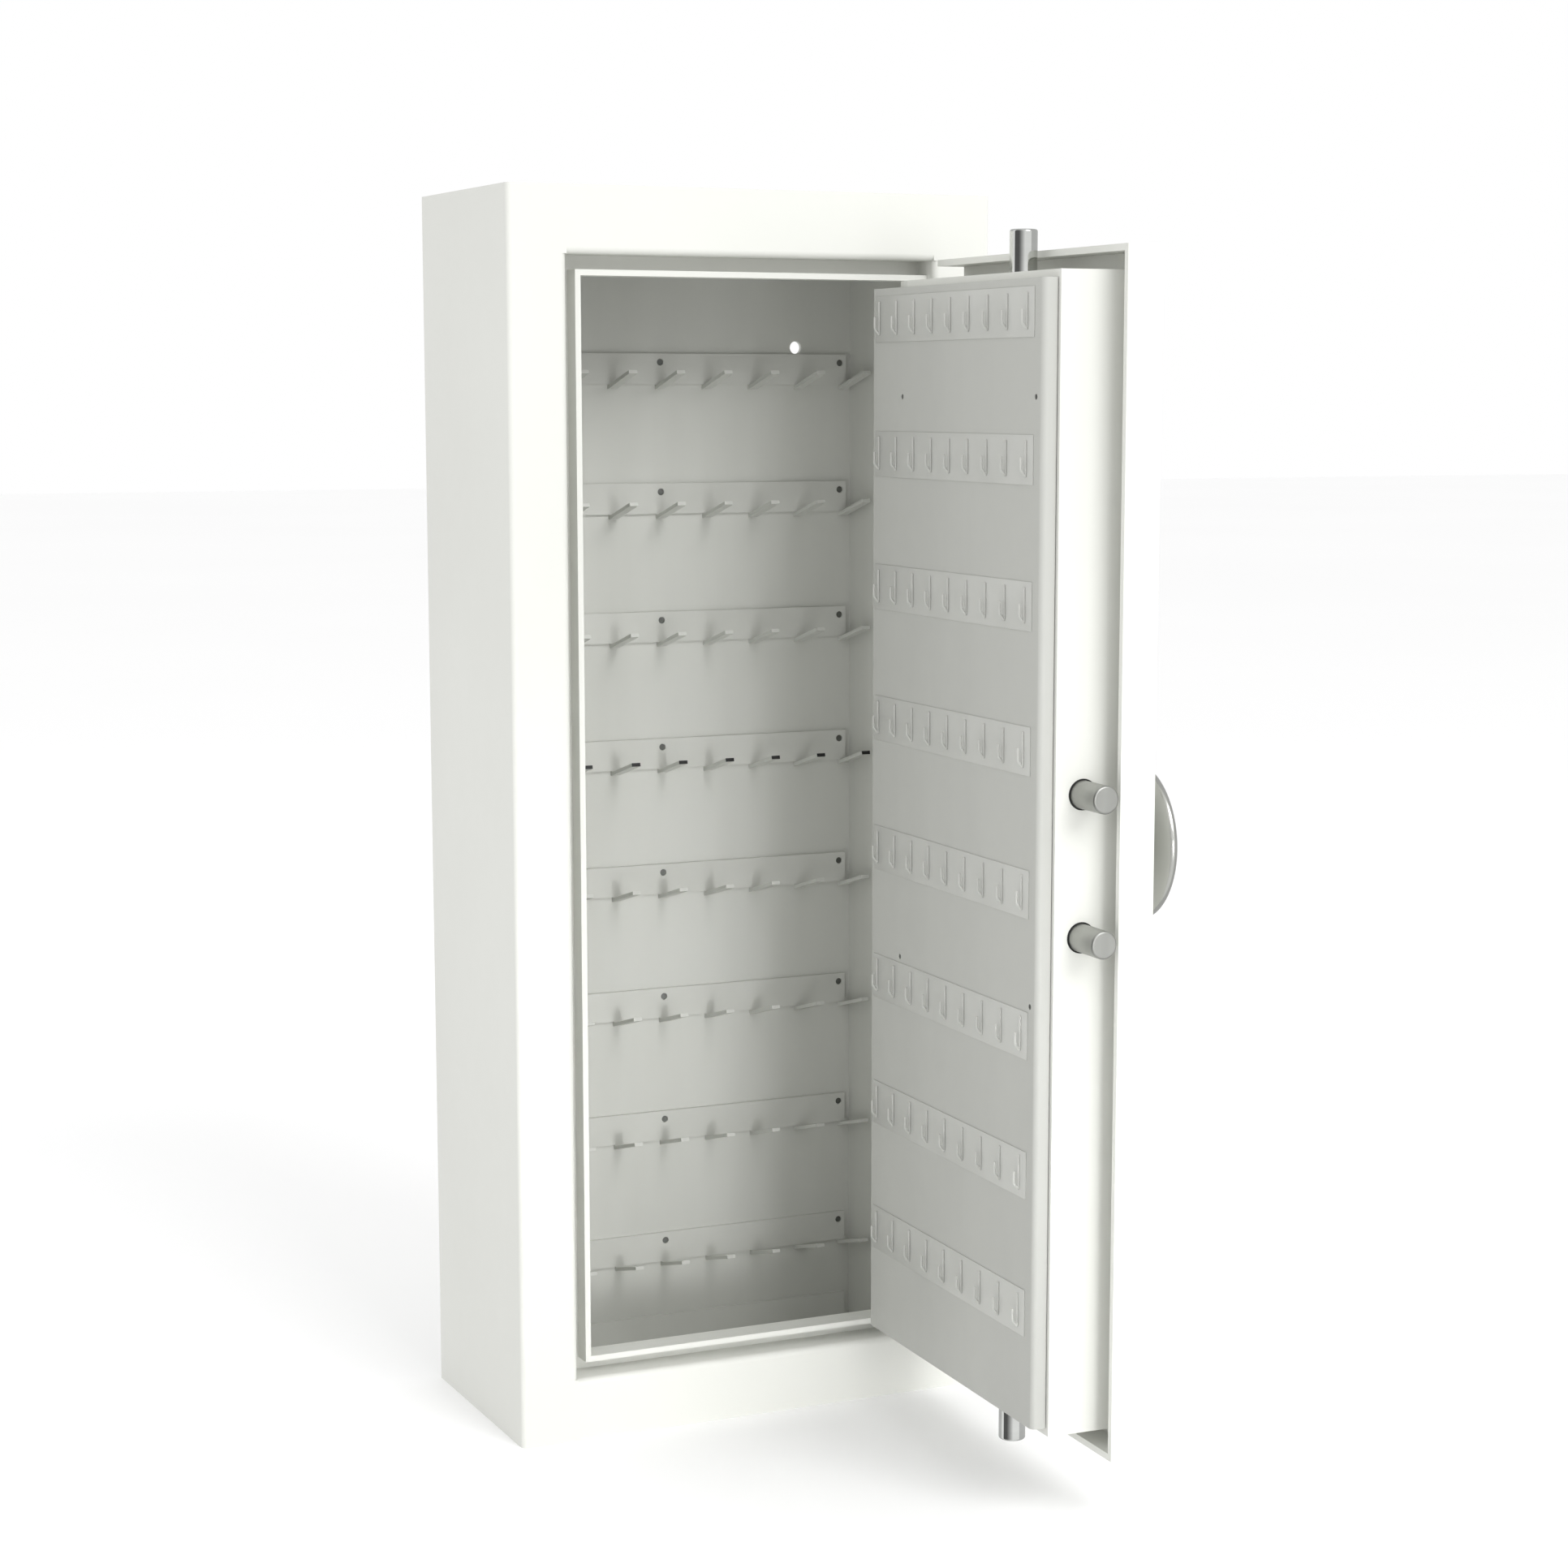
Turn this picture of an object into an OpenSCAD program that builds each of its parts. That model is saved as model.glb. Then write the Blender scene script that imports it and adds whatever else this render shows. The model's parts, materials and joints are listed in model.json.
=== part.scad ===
// Security key cabinet: a double-walled steel cabinet with rows of long key prongs on
// its back wall, and a thick inset door that carries small hooks, a handwheel and a
// four-bolt lock work. The door is drawn standing open, with its bolts thrown.
// Origin: centre of the base. +X to the right, -Y to the front, +Z up. Millimetres.

/* [Cabinet] */
// Overall width
body_w = 500; // [460:10:600]
// Overall depth without the door
body_d = 250; // [230:10:400]
// Overall height
body_h = 1200; // [1190:5:1300]
// Thickness of the outer sheet
sheet = 4; // [3:0.5:4]
// Outer radius of the folded vertical edges
fold_r = 5; // [4:0.5:8]
// Thickness of the back plate
back_t = 5; // [3:0.5:5]
// Clear width between the inner side linings
inner_w = 434.6; // [430:0.2:440]

/* [Door opening] */
// Width of the left stile
stile_left = 58; // [50:1:60]
// Width of the right stile
stile_right = 61; // [60:1:70]
// Height of the bottom rail
rail_bottom = 61; // [55:1:65]
// Height of the top rail
rail_top = 63; // [55:1:70]
// Depth of the rebate that takes the door pan
rebate_d = 34.5; // [34.5:0.5:38]
// Gap between the opening's edge and the raised lip
lip_gap = 13.3; // [13:0.1:14]
// Thickness of the raised lip
lip_t = 5.5; // [3:0.5:5.5]

/* [Door] */
// Angle at which the door stands open
door_open = 88; // [60:1:110]
// Thickness of the door plate and of its rims
plate_t = 6; // [4:0.5:6]
// Depth of the door pan over its rims
pan_d = 34; // [30:1:34]
// Depth from the door's outer face to the inner face of the bolt case
case_d = 82.5; // [75:0.5:85]
// Depth of the hook tray behind the bolt case
tray_d = 14.5; // [10:0.5:15]

/* [Hinge] */
// Distance of the hinge pin in front of the cabinet's face
hinge_out = 20.6; // [18:0.2:22]
// Distance of the hinge pin beyond the opening's right edge
hinge_side = 32.3; // [30:0.1:34]
// Radius of the hinge pin
hinge_pin_r = 5; // [4:0.5:5]

/* [Bolt work] */
// Diameter of the locking bolts
bolt_dia = 25; // [20:1:25]
// Travel of the locking bolts
bolt_throw = 40; // [36:1:40]
// Distance between the two side bolts
side_bolt_pitch = 126.8; // [120:0.2:130]
// Radius of the handwheel
wheel_r = 73; // [60:1:75]

/* [Key rows] */
// Number of rows on the back wall and on the door
row_n = 8; // [4:1:8]
// Height between two rows of prongs
prong_pitch_z = 131.75; // [131:0.25:132]
// Width between two prongs
prong_pitch_x = 52; // [48:1:52]
// Height between two rows of door hooks
hook_pitch_z = 126.3; // [125:0.1:127]
// Width between two door hooks
hook_pitch_x = 38.35; // [36:0.05:38.5]

/* [Hidden] */
$fn = 48;
front_y = -body_d / 2;
back_y = body_d / 2;
open_x0 = -body_w / 2 + stile_left;
open_x1 = body_w / 2 - stile_right;
open_z0 = rail_bottom;
open_z1 = body_h - rail_top;
open_mid_z = (open_z0 + open_z1) / 2;
wall_y = back_y - back_t;           // front face of the back plate
lip_x0 = open_x0 + lip_gap;
lip_low = 1.3;                       // the bottom lip lies this much lower than its gap
lip_high = 0.4;                      // and the top lip too
lip_in = 14;
lip_z0 = open_z0 + lip_gap - lip_low;
lip_z1 = open_z1 - lip_gap - lip_high;
lip_y0 = front_y + lip_in;
lip_deep = 27;
rebate_t = 3;
rebate_y = front_y + rebate_d;
bend_r = 6;
lining_t = 2;

// The door is built in its own frame: x runs from the free edge to the hinge edge,
// y from the outer face inwards, and z is height.
pan_gap_free = 3.5;
pan_gap_hinge = 2;
pan_w = open_x1 - open_x0 - pan_gap_free - pan_gap_hinge;
pan_x0 = open_x0 + pan_gap_free;
pan_z0 = open_z0 + 2;
pan_z1 = open_z1 - 2;
pivot_x = open_x1 + hinge_side;
pivot_y = front_y - hinge_out;
hinge_s = pivot_x - pan_x0;          // the pin's place in the door's frame
hinge_rim_d = 24;                    // the rim beside the hinges is shallower
hinge_rim_gap = 0.5;                 // it stops this far short of the lips
case_s0 = 28.6;
case_s1 = 366;
case_z0 = 84;
case_z1 = 1114;
case_t = 2;
case_slope_s = 340;                  // where the case's hinge side starts to slope
case_slope_y = 77;
tray_s0 = 32.8;
tray_s1 = 387;
tray_z0 = 91;
tray_z1 = 1107;
tray_t = 1.5;
tray_r = 5;
tray_back = case_d + 0.8;
spacer_r = 6;
tray_face = case_d + tray_d;

// Hinges
barrel_r = 10;
barrel_h = 40;
washer_t = 1;
run_gap = 0.05;                      // radial clearance of a running fit
hinge_zs = [180, 940];
lug_arm = 6;                         // half width of the frame lug's arm
lug_foot = 16;                       // half width of its foot
lug_foot_t = 4;
web_s0 = 336;                        // the door lug's foot runs from here
web_s1 = 372;                        // to here
web_t = 5;
web_reach = 8;
web_elbow = [350, -14];
pin_proud = 1.5;
pin_head_lift = 0.5;
pin_head_t = 3;

// Bolt work
bolt_r = bolt_dia / 2;
bolt_y = 55.5;                       // depth of the bolts' axes in the door
wheel_s = 153;
wheel_z = open_mid_z;
side_zs = [wheel_z - side_bolt_pitch / 2, wheel_z + side_bolt_pitch / 2];
drawn_out = 3;                       // a drawn side or bottom bolt stays this far out
drawn_in = 1;                        // the drawn top bolt sinks this far into the case
side_tip = case_s0 - bolt_throw - drawn_out;
side_root = 65;
rod_len = 112;
top_tip = case_z1 + bolt_throw - drawn_in;
bottom_tip = case_z0 - bolt_throw - drawn_out;
bush_r = 14;
bush_set = 0.3;                      // how far a bush sits in its hole
bush_fit = 0.1;
bush_len = 15;
collar_wall = 4;
collar_t = 5;
crank_r = bolt_throw / sqrt(2);      // a quarter turn about mid travel
crank_pin_r = 4;
slot_play = 1.2;
slot_half = crank_pin_r + slot_play;
near_y = 44;                         // layer of the top and bottom draw bars
far_y = 52.5;                        // layer of the side draw bar
bar_t = 6;
keeper_zs = [400, 760];
keeper_half = 20;
keeper_h = 20;
keeper_wall = 3;
bar_half = 12;
bar_gap = 0.3;
arm_w = 12;
head_half = 7;                       // half height of a bar's slotted head
head_in = 10;
top_out = 46;                        // how far the top bar goes round the spindle
top_cross = 59;
bottom_out = 39;
bottom_cross = 48;
disc_y = 34;
disc_t = 6;
disc_r = 36;
spindle_r = 8;
spindle_out = 60;                    // how far the spindle stands out of the door
nut_r = 12;
nut_t = 3.5;
yoke_over = 16;                      // how far the side bolts' yoke runs past their axes
yoke_t = 6;
eye_half = 12;                       // the side bar's slotted end
eye_up = 21;
wheel_neck = 6;
wheel_stand = 66.8;                  // height of the wheel's rim over the door
wheel_back = 20;
wheel_front = 15;
hub_r = 16;
hub_ys = [8, 30];
rose_r = 30;
rose_t = 5;
bush_wall = 4;
bush_in = 20;

// Key lock
lock_s = 65;
lock_z = 780;
lock_w = 44;
lock_h = 70;
lock_y0 = plate_t;
lock_y1 = 30;
lock_wall = 2;
core_r = 7;
core_crank = 7;
core_pin_r = 2;
core_proud = 4;
lock_travel = core_crank * sqrt(2);
latch_w = 24;
latch_y0 = 18;
latch_t = 4;
latch_out = 2;                       // how far the latch stands out at rest
latch_head = 9;
cam_r = 17;
cam_t = 5;
key_plate_r = 17;
key_plate_t = 2.5;
keyhole_r = 2.4;
keyhole_half_w = 1.2;
keyhole_half_h = 4.5;
keyhole_in = 8;
latch_gap = 0.4;
pin_gap = 0.6;

// Key rows
prong_n = 9;
prong_w = 9;
prong_t = 3.5;
prong_run = 56;
prong_rise = 15.2;
prong_tilt = atan(prong_rise / prong_run);
prong_len = prong_run / cos(prong_tilt);
strip_t = 3.5;
strip_h = 31.2;
strip_w = 422;
strip_top = 1049.6;
foot_drop = 5;                       // a prong's foot hangs this far below its strip
foot_h = 8;
prong_sink = 0.4;                    // a prong starts this far inside its foot
pad_t = 1;
stiffener_top = 37;
rivet_xs = [-203.5, 0, 203.5];
rivet_drop = 8.8;
rivet_hole_r = 3.5;
rivet_gap = 0.3;
rivet_inset = 1.2;
anchor_x = 154;
anchor_z = 1056.4;
anchor_r = 6.5;
hook_n = 9;
hook_strip_s0 = 48.5;
hook_strip_s1 = 377.5;
hook_strip_t = 0.8;
hook_strip_h = 43;
hook_top = 1099.8;
hook_first = 60.6;
hook_screw_drop = 20;
hook_screw_r = 1.8;
hook_screw_play = 0.2;
hook_screw_inset = 0.3;
wire_r = 0.9;
screw_r = 2.5;
screw_end = 4;                       // how far a tray screw reaches into the bolt case
screw_inset = 0.8;
tray_screw_ss = [45, 318];
tray_screw_zs = [474, 1006];

white = [0.95, 0.95, 0.93];
light_grey = [0.76, 0.77, 0.74];
steel = [0.72, 0.73, 0.74];
dark = [0.12, 0.12, 0.12];

function row_z(top, pitch, k) = top - pitch * k;

function prong_x(i) = (i - (prong_n - 1) / 2) * prong_pitch_x;

// Put a shape drawn in the door's frame where the door stands.
module on_door() {
    translate([pivot_x, pivot_y, 0]) rotate([0, 0, door_open])
        translate([pan_x0 - pivot_x, front_y - pivot_y, 0]) children();
}

module box(a, b) { translate(a) cube(b - a); }

// A cylinder along +Y from y0 to y1.
module y_rod(x, z, r, y0, y1) {
    translate([x, y0, z]) rotate([-90, 0, 0]) cylinder(r = r, h = y1 - y0);
}

// A cylinder along +X from x0 to x1.
module x_rod(y, z, r, x0, x1) {
    translate([x0, y, z]) rotate([0, 90, 0]) cylinder(r = r, h = x1 - x0);
}

// A quarter of a ring around the origin, in the quadrant of +x and +y.
module quarter_ring(r_out, r_in) {
    intersection() {
        difference() {
            circle(r = r_out);
            circle(r = r_in);
        }
        square(r_out + 1);
    }
}

// ---- Cabinet -----------------------------------------------------------------

// One folded side in plan: back edge, side and stile.
module side_outline(stile) {
    w = body_w / 2;
    d = body_d / 2;
    translate([w - fold_r, -d + fold_r]) mirror([0, 1]) quarter_ring(fold_r, fold_r - sheet);
    translate([w - fold_r, d - fold_r]) quarter_ring(fold_r, fold_r - sheet);
    translate([w - sheet, -d + fold_r]) square([sheet, body_d - 2 * fold_r]);
    translate([w - stile, -d]) square([stile - fold_r, sheet]);
}

// What a bend of radius r takes off a square corner at the origin.
module bend_cut(r) {
    difference() {
        translate([-1, -1]) square(r + 1);
        translate([r, r]) circle(r = r);
    }
}

// The stile's return stops short of the roof and the floor, and its edge is bent round
// beside the opening.
module side_shell(stile) {
    edge_x = body_w / 2 - stile;
    difference() {
        union() {
            linear_extrude(height = body_h) side_outline(stile);
            translate([edge_x, front_y, sheet]) cube([sheet, rebate_d, body_h - 2 * sheet]);
        }
        translate([edge_x, front_y, open_z0]) linear_extrude(height = open_z1 - open_z0) bend_cut(bend_r);
    }
}

module left_side() {
    color(white) mirror([1, 0, 0]) side_shell(stile_left);
}

module right_side() {
    color(white) side_shell(stile_right);
}

// One rail in section, with a rounded bend into the opening. x runs back, y runs up
// from the opening's edge.
module rail_outline(height) {
    translate([bend_r, bend_r]) rotate(180) quarter_ring(bend_r, bend_r - sheet);
    translate([0, bend_r]) square([sheet, height - bend_r]);
    translate([bend_r, 0]) square([rebate_d - bend_r, sheet]);
}

// Stand a section drawn in the YZ plane on the opening and run it along X.
module along_opening() {
    translate([open_x0, front_y, 0]) rotate([90, 0, 90])
        linear_extrude(height = open_x1 - open_x0) children();
}

module top_rail() {
    color(white) translate([0, 0, open_z1]) along_opening() rail_outline(rail_top);
}

module bottom_rail() {
    color(white) translate([0, 0, open_z0]) mirror([0, 0, 1]) along_opening() rail_outline(rail_bottom);
}

module flat_panel(z) {
    box([-body_w / 2 + sheet, front_y + sheet, z], [body_w / 2 - sheet, wall_y, z + sheet]);
}

module roof_panel() { color(white) flat_panel(body_h - sheet); }

module floor_panel() { color(white) flat_panel(0); }

module back_plate() {
    x = body_w / 2 - fold_r;
    color(light_grey) difference() {
        box([-x, wall_y, 0], [x, back_y, body_h]);
        for (side = [-1, 1]) y_rod(side * anchor_x, anchor_z, anchor_r, wall_y - 1, back_y + 1);
    }
}

// The rebate is open on the hinge side, where the door's inner part swings out.
module rebate_plate() {
    color(white) difference() {
        box([open_x0 - sheet, rebate_y, open_z0 - sheet], [open_x1, rebate_y + rebate_t, open_z1 + sheet]);
        box([lip_x0, rebate_y - 1, lip_z0], [open_x1 + 1, rebate_y + rebate_t + 1, lip_z1]);
    }
}

module lip(x0, x1, z0, z1) {
    color(white) box([x0, lip_y0, z0], [x1, lip_y0 + lip_deep, z1]);
}

module left_lip() { lip(lip_x0, lip_x0 + lip_t, lip_z0 + lip_t, lip_z1 - lip_t); }

module top_lip() { lip(lip_x0, open_x1, lip_z1 - lip_t, lip_z1); }

module bottom_lip() { lip(lip_x0, open_x1, lip_z0, lip_z0 + lip_t); }

module lining(side) {
    x = side * (inner_w / 2 + lining_t / 2);
    color(light_grey) translate([x - lining_t / 2, front_y + sheet, sheet])
        cube([lining_t, wall_y - front_y - sheet, body_h - 2 * sheet]);
}

module infill(side) {
    thick = body_w / 2 - sheet - inner_w / 2 - lining_t;
    x = side * (body_w / 2 - sheet - thick / 2);
    color([0.86, 0.82, 0.7]) translate([x - thick / 2, front_y + fold_r, sheet])
        cube([thick, wall_y - fold_r - front_y - fold_r, body_h - 2 * sheet]);
}

module bottom_stiffener() {
    color(light_grey) box([-strip_w / 2, wall_y - strip_t, sheet], [strip_w / 2, wall_y, stiffener_top]);
}

// Where each prong of a row starts: at the strip's lower edge, rising to the front.
module at_prongs(z_top) {
    for (i = [0 : prong_n - 1])
        translate([prong_x(i), wall_y - strip_t, z_top - strip_h - foot_drop + prong_sink])
            rotate([-prong_tilt, 0, 0]) children();
}

module key_rail(k) {
    z = row_z(strip_top, prong_pitch_z, k);
    color(light_grey) {
        difference() {
            union() {
                box([-strip_w / 2, wall_y - strip_t, z - strip_h], [strip_w / 2, wall_y, z]);
                for (i = [0 : prong_n - 1])
                    translate([prong_x(i) - prong_w / 2, wall_y - strip_t, z - strip_h - foot_drop])
                        cube([prong_w, strip_t, foot_h]);
                at_prongs(z) translate([-prong_w / 2, prong_sink - prong_len, 0])
                    cube([prong_w, prong_len, prong_t]);
            }
            for (x = rivet_xs) y_rod(x, z - rivet_drop, rivet_hole_r, wall_y - strip_t - 1, wall_y + 1);
        }
    }
}

// Fixing rivets of all the rows, set back in their holes.
module rail_rivets() {
    color([0.45, 0.46, 0.44]) for (k = [0 : row_n - 1], x = rivet_xs)
        translate([0, 0, row_z(strip_top, prong_pitch_z, k) - rivet_drop])
            y_rod(x, 0, rivet_hole_r - rivet_gap, wall_y - strip_t + rivet_inset, wall_y);
}

// Dark end pads on the prongs of the fourth row.
module prong_pads() {
    color(dark) at_prongs(row_z(strip_top, prong_pitch_z, 3))
        translate([-prong_w / 2, prong_sink - prong_len - pad_t, 0]) cube([prong_w, pad_t, prong_t]);
}

// ---- Hinges --------------------------------------------------------------------

module barrel(z) {
    translate([pivot_x, pivot_y, z]) cylinder(r = barrel_r, h = barrel_h);
}

module pin_hole(r) {
    translate([pivot_x, pivot_y, -1]) cylinder(r = r, h = body_h + 2);
}

module frame_lug(z) {
    color(white) difference() {
        union() {
            barrel(z);
            box([pivot_x - lug_arm, pivot_y, z], [pivot_x + lug_arm, front_y, z + barrel_h]);
            box([pivot_x - lug_foot, front_y - lug_foot_t, z],
                [pivot_x + lug_foot, front_y, z + barrel_h]);
        }
        pin_hole(hinge_pin_r);
    }
}

module lug_web(z) {
    h = barrel_h;
    y = -hinge_out;
    translate([0, 0, z]) linear_extrude(height = h)
        polygon([[web_s0, 0], [web_s1, 0], [web_s1, -web_t], [hinge_s - web_reach, y + web_reach],
                 [hinge_s, y], [hinge_s - web_reach, y - web_t], web_elbow, [web_s0, -web_t]]);
}

module door_lug(z) {
    up = z + barrel_h + washer_t;
    color(white) on_door() difference() {
        union() {
            translate([hinge_s, -hinge_out, up]) cylinder(r = barrel_r, h = barrel_h);
            lug_web(up);
        }
        translate([hinge_s, -hinge_out, up - 1]) cylinder(r = hinge_pin_r + run_gap, h = barrel_h + 2);
    }
}

module hinge_pins() {
    color(steel) for (z = hinge_zs) translate([pivot_x, pivot_y, z]) {
        cylinder(r = hinge_pin_r, h = 2 * barrel_h + washer_t + pin_proud);
        translate([0, 0, 2 * barrel_h + washer_t + pin_head_lift])
            cylinder(r = barrel_r - 1, h = pin_head_t);
    }
}

module hinge_washers() {
    color("gold") for (z = hinge_zs) translate([pivot_x, pivot_y, z + barrel_h]) difference() {
        cylinder(r = barrel_r, h = washer_t);
        translate([0, 0, -1]) cylinder(r = hinge_pin_r + run_gap, h = washer_t + 2);
    }
}

// ---- Door ----------------------------------------------------------------------

// The door plate with its rims. The rim on the hinge side ends between the two lips, so
// that it passes them when the door closes.
module door_pan() {
    color(white) on_door() difference() {
        union() {
            difference() {
                box([0, 0, pan_z0], [pan_w, pan_d, pan_z1]);
                box([plate_t, plate_t, pan_z0 + plate_t], [pan_w + 1, pan_d + 1, pan_z1 - plate_t]);
            }
            box([pan_w - plate_t, plate_t - 1, lip_z0 + lip_t + hinge_rim_gap],
                [pan_w, hinge_rim_d, lip_z1 - lip_t - hinge_rim_gap]);
        }
        y_rod(wheel_s, wheel_z, spindle_r + bush_wall, -1, plate_t + 1);
        y_rod(lock_s, lock_z, core_r + 1, -1, plate_t + 1);
    }
}

module case_outline(grow) {
    polygon([[case_s0 - grow, 0], [case_s1 + grow, 0], [case_s1 + grow, case_slope_y + grow],
             [case_slope_s + grow, case_d + grow], [case_s0 - grow, case_d + grow]]);
}

// The bolt case is a deep tray over the bolt work, open towards the door plate.
module bolt_case() {
    color(white) on_door() difference() {
        translate([0, 0, case_z0]) linear_extrude(height = case_z1 - case_z0) intersection() {
            case_outline(0);
            translate([0, plate_t]) square([pan_w, case_d]);
        }
        translate([0, 0, case_z0 + case_t]) linear_extrude(height = case_z1 - case_z0 - 2 * case_t)
            case_outline(-case_t);
        for (z = side_zs) x_rod(bolt_y, z, bush_r, case_s0 - 1, case_s0 + case_t + 1);
        translate([wheel_s, bolt_y, case_z0 - 1]) cylinder(r = bush_r, h = case_z1 - case_z0 + 2);
        for (s = tray_screw_ss, z = tray_screw_zs) y_rod(s, z, screw_r, case_d - case_t - 1, case_d + 1);
    }
}

// The tray stands a little off the bolt case, on a spacer round each of its screws.
module hook_tray() {
    color(light_grey) on_door() {
        tray_shell();
        for (s = tray_screw_ss, z = tray_screw_zs) difference() {
            y_rod(s, z, spacer_r, case_d, tray_face - tray_t / 2);
            y_rod(s, z, screw_r, case_d - 1, tray_face + 1);
        }
    }
}

module tray_shell() {
    difference() {
        translate([0, 0, tray_z0]) linear_extrude(height = tray_z1 - tray_z0) {
            translate([tray_s0, tray_back]) square([tray_s1 - tray_s0, tray_face - tray_r - tray_back]);
            translate([tray_s0 + tray_r, tray_back])
                square([tray_s1 - tray_s0 - 2 * tray_r, tray_face - tray_back]);
            translate([tray_s0 + tray_r, tray_face - tray_r]) circle(r = tray_r);
            translate([tray_s1 - tray_r, tray_face - tray_r]) circle(r = tray_r);
        }
        box([tray_s0 + tray_t, case_d - 1, tray_z0 + tray_t],
            [tray_s1 - tray_t, tray_face - tray_r, tray_z1 - tray_t]);
        box([tray_s0 + tray_r, case_d, tray_z0 + tray_t],
            [tray_s1 - tray_r, tray_face - tray_t, tray_z1 - tray_t]);
        for (s = tray_screw_ss, z = tray_screw_zs) y_rod(s, z, screw_r, case_d - 1, tray_face + 1);
    }
}

module tray_screws() {
    color([0.35, 0.36, 0.35]) on_door() for (s = tray_screw_ss, z = tray_screw_zs)
        y_rod(s, z, screw_r, case_d - case_t - screw_end, tray_face - screw_inset);
}

// One hook in section: a shank on the strip, a leg that comes out and a tip that stands
// up. x runs out from the strip and y runs up.
module hook_outline() {
    polygon([[0, -5], [0, -37.3], [1, -37.3], [6.4, -31.2], [7, -20], [5.2, -20], [4.6, -30.4],
             [1.8, -33.5], [1.8, -5]]);
}

module hook(z_top) {
    translate([-wire_r, tray_face + hook_strip_t - 0.2, z_top]) rotate([90, 0, 90])
        linear_extrude(height = 2 * wire_r) hook_outline();
}

hook_screw_ss = [hook_first + hook_pitch_x / 2, hook_first + (hook_n - 1.5) * hook_pitch_x];

module hook_row(k) {
    z = row_z(hook_top, hook_pitch_z, k);
    color(light_grey) on_door() {
        difference() {
            box([hook_strip_s0, tray_face, z - hook_strip_h], [hook_strip_s1, tray_face + hook_strip_t, z]);
            for (s = hook_screw_ss) y_rod(s, z - hook_screw_drop, hook_screw_r + hook_screw_play,
                                          tray_face - 1, tray_face + hook_strip_t + 1);
        }
        for (i = [0 : hook_n - 1]) translate([hook_first + i * hook_pitch_x, 0, 0]) hook(z);
    }
}

// Screws of the hook strips, a little below the strips' faces.
module hook_row_screws() {
    color([0.5, 0.51, 0.5]) on_door() for (k = [0 : row_n - 1], s = hook_screw_ss)
        y_rod(s, row_z(hook_top, hook_pitch_z, k) - hook_screw_drop, hook_screw_r,
              tray_face, tray_face + hook_strip_t - hook_screw_inset);
}

module spindle_bush() {
    color("gold") on_door() difference() {
        y_rod(wheel_s, wheel_z, spindle_r + bush_wall, -rose_t - 1, bush_in);
        y_rod(wheel_s, wheel_z, spindle_r + run_gap, -rose_t - 2, bush_in + 1);
    }
}

module wheel_rose() {
    color(steel) on_door() difference() {
        y_rod(wheel_s, wheel_z, rose_r, -rose_t, 0);
        y_rod(wheel_s, wheel_z, spindle_r + bush_wall, -rose_t - 1, 1);
    }
}

// A bush with a collar inside the case wall. It is drawn along +Z from the outer face.
module bush_shape() {
    difference() {
        union() {
            translate([0, 0, bush_set]) cylinder(r = bush_r - bush_fit, h = bush_len);
            translate([0, 0, case_t]) cylinder(r = bush_r + collar_wall, h = collar_t);
        }
        translate([0, 0, -1]) cylinder(r = bolt_r + run_gap, h = 20);
    }
}

module side_bushes() {
    color(dark) on_door() for (z = side_zs) translate([case_s0, bolt_y, z]) rotate([0, 90, 0]) bush_shape();
}

module end_bushes() {
    color(dark) on_door() {
        translate([wheel_s, bolt_y, case_z1]) mirror([0, 0, 1]) bush_shape();
        translate([wheel_s, bolt_y, case_z0]) bush_shape();
    }
}

// A keeper that holds a draw bar off the door plate and lets it slide.
module bar_keeper(z) {
    difference() {
        box([wheel_s - keeper_half, plate_t, z],
            [wheel_s + keeper_half, near_y + bar_t + bar_gap + keeper_wall, z + keeper_h]);
        box([wheel_s - bar_half - bar_gap, near_y - bar_gap, z - 1],
            [wheel_s + bar_half + bar_gap, near_y + bar_t + bar_gap, z + keeper_h + 1]);
        box([wheel_s - bar_half - 2, plate_t - 1, z - 1],
            [wheel_s + bar_half + 2, near_y - keeper_wall, z + keeper_h + 1]);
    }
}

module bar_keepers() {
    color(steel) on_door() for (z = keeper_zs) bar_keeper(z);
}

// ---- Handwheel and bolts ---------------------------------------------------------

// The wheel's section: a lens whose widest circle stands wheel_stand over the door.
// The first two points are its hub.
function lens(r, deep) = deep * sqrt(max(0, 1 - pow(r / wheel_r, 2)));
wheel_steps = 14;
neck_r = hub_r + wheel_neck;
wheel_section = concat(
    [[0, hub_ys[0]], [hub_r, hub_ys[0]], [hub_r, hub_ys[1]]],
    [for (i = [0 : wheel_steps]) let (r = neck_r + (wheel_r - neck_r) * sin(90 * i / wheel_steps))
        [r, wheel_stand - lens(r, wheel_back)]],
    [for (i = [wheel_steps - 1 : -1 : 0]) let (r = wheel_r * sin(90 * i / wheel_steps))
        [r, wheel_stand + lens(r, wheel_front)]]);

module handwheel() {
    color(steel) on_door() difference() {
        translate([wheel_s, 0, wheel_z]) rotate([90, 0, 0]) rotate_extrude($fn = 96) polygon(wheel_section);
        y_rod(wheel_s, wheel_z, spindle_r, -spindle_out, 1);
    }
}

module spindle() {
    color(steel) on_door() y_rod(wheel_s, wheel_z, spindle_r, -spindle_out, disc_y + disc_t + 1);
}

// The crank disc turns clockwise, seen from the front, to draw the bolts.
module crank_disc() {
    rest = 45;
    color(steel) on_door() {
        difference() {
            y_rod(wheel_s, wheel_z, disc_r, disc_y, disc_y + disc_t);
            y_rod(wheel_s, wheel_z, spindle_r, disc_y - 1, disc_y + disc_t + 1);
        }
        for (pin = [[90, far_y + bar_t], [0, near_y + bar_t], [180, near_y + bar_t]])
            y_rod(wheel_s + crank_r * cos(pin[0] + rest), wheel_z + crank_r * sin(pin[0] + rest),
                  crank_pin_r, disc_y + disc_t - 1, pin[1]);
    }
}

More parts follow.
